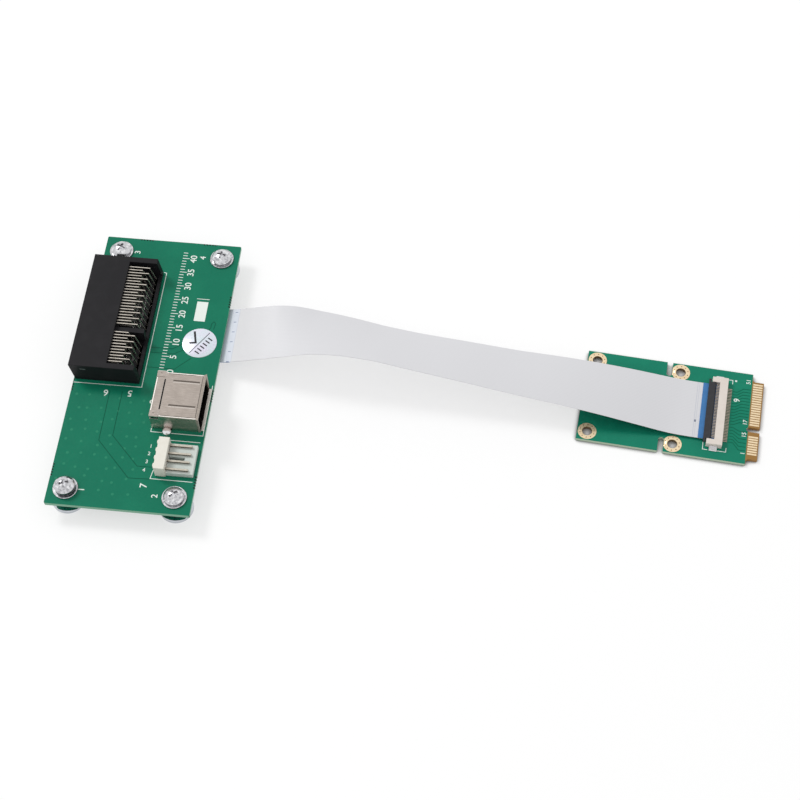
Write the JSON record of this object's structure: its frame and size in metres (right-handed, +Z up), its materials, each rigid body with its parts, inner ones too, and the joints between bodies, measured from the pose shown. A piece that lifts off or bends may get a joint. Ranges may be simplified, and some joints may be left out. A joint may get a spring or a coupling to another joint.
{
  "type": "mini card to slot adapter",
  "caption": "Adapter board on round feet with a right-angle card slot, USB receptacle and power header, joined by a flat ribbon cable to a mini card with a gold edge tongue.",
  "frame": {"origin": "middle of the footprint of both boards, on the surface they stand on", "axes": "+X from the main board towards the mini card, +Y along the main board away from the USB end, +Z up"},
  "size_m": [0.1976, 0.0914, 0.0142],
  "materials": {
    "board_mask": "green solder mask on glass-epoxy board",
    "card_mask": "green solder mask on glass-epoxy card",
    "black_nylon": "moulded black, satin",
    "tinned_contact": "tin plated contact metal",
    "shell_steel": "nickel plated steel sheet",
    "insulator_black": "moulded black",
    "gold_contact": "gold plated copper",
    "solder": "bright solder",
    "white_nylon": "moulded white nylon",
    "label_film": "pale pearly film, blank",
    "zinc_steel": "bright zinc plated steel",
    "plated_foot": "polished nickel plated steel",
    "ivory_housing": "moulded ivory",
    "latch_black": "moulded black",
    "ribbon_film": "white polyester film over flat wires",
    "stiffener_blue": "blue polyester film"
  },
  "bodies": {
    "base": {"board_feet": "plated_foot", "board_ffc_contacts": "tinned_contact", "board_ffc_housing": "ivory_housing", "board_ffc_solder_tabs": "tinned_contact", "board_screws": "zinc_steel", "board_washers": "zinc_steel", "card_ffc_contacts": "tinned_contact", "card_ffc_housing": "ivory_housing", "card_ffc_solder_tabs": "tinned_contact", "card_fingers_bottom": "gold_contact", "card_fingers_top": "gold_contact", "card_hole_pads": "gold_contact", "main_board": "board_mask", "mini_card": "card_mask", "power_header_body": "white_nylon", "power_header_pins": "tinned_contact", "ribbon_cable": "ribbon_film", "ribbon_stiffener_board": "stiffener_blue", "ribbon_stiffener_card": "stiffener_blue", "round_label": "label_film", "slot_housing": "black_nylon", "slot_lower_contacts": "tinned_contact", "slot_upper_contacts": "tinned_contact", "usb_contacts": "gold_contact", "usb_insulator": "insulator_black", "usb_shell": "shell_steel", "usb_solder_domes": "solder"},
    "card_latch": {"card_ffc_latch": "latch_black"},
    "board_latch": {"board_ffc_latch": "latch_black"}
  },
  "joints": [
    {"name": "card_latch_flip", "type": "hinge", "parent": "base", "child": "card_latch", "pos_m": [0.08403, 0.00452, 0.00235], "axis": [0.0763, 0.9971, 0], "range_deg": [0, 90]},
    {"name": "board_latch_flip", "type": "hinge", "parent": "base", "child": "board_latch", "pos_m": [-0.06045, 0.0147, 0.0037], "axis": [0, 1, 0], "range_deg": [0, 90]}
  ]
}
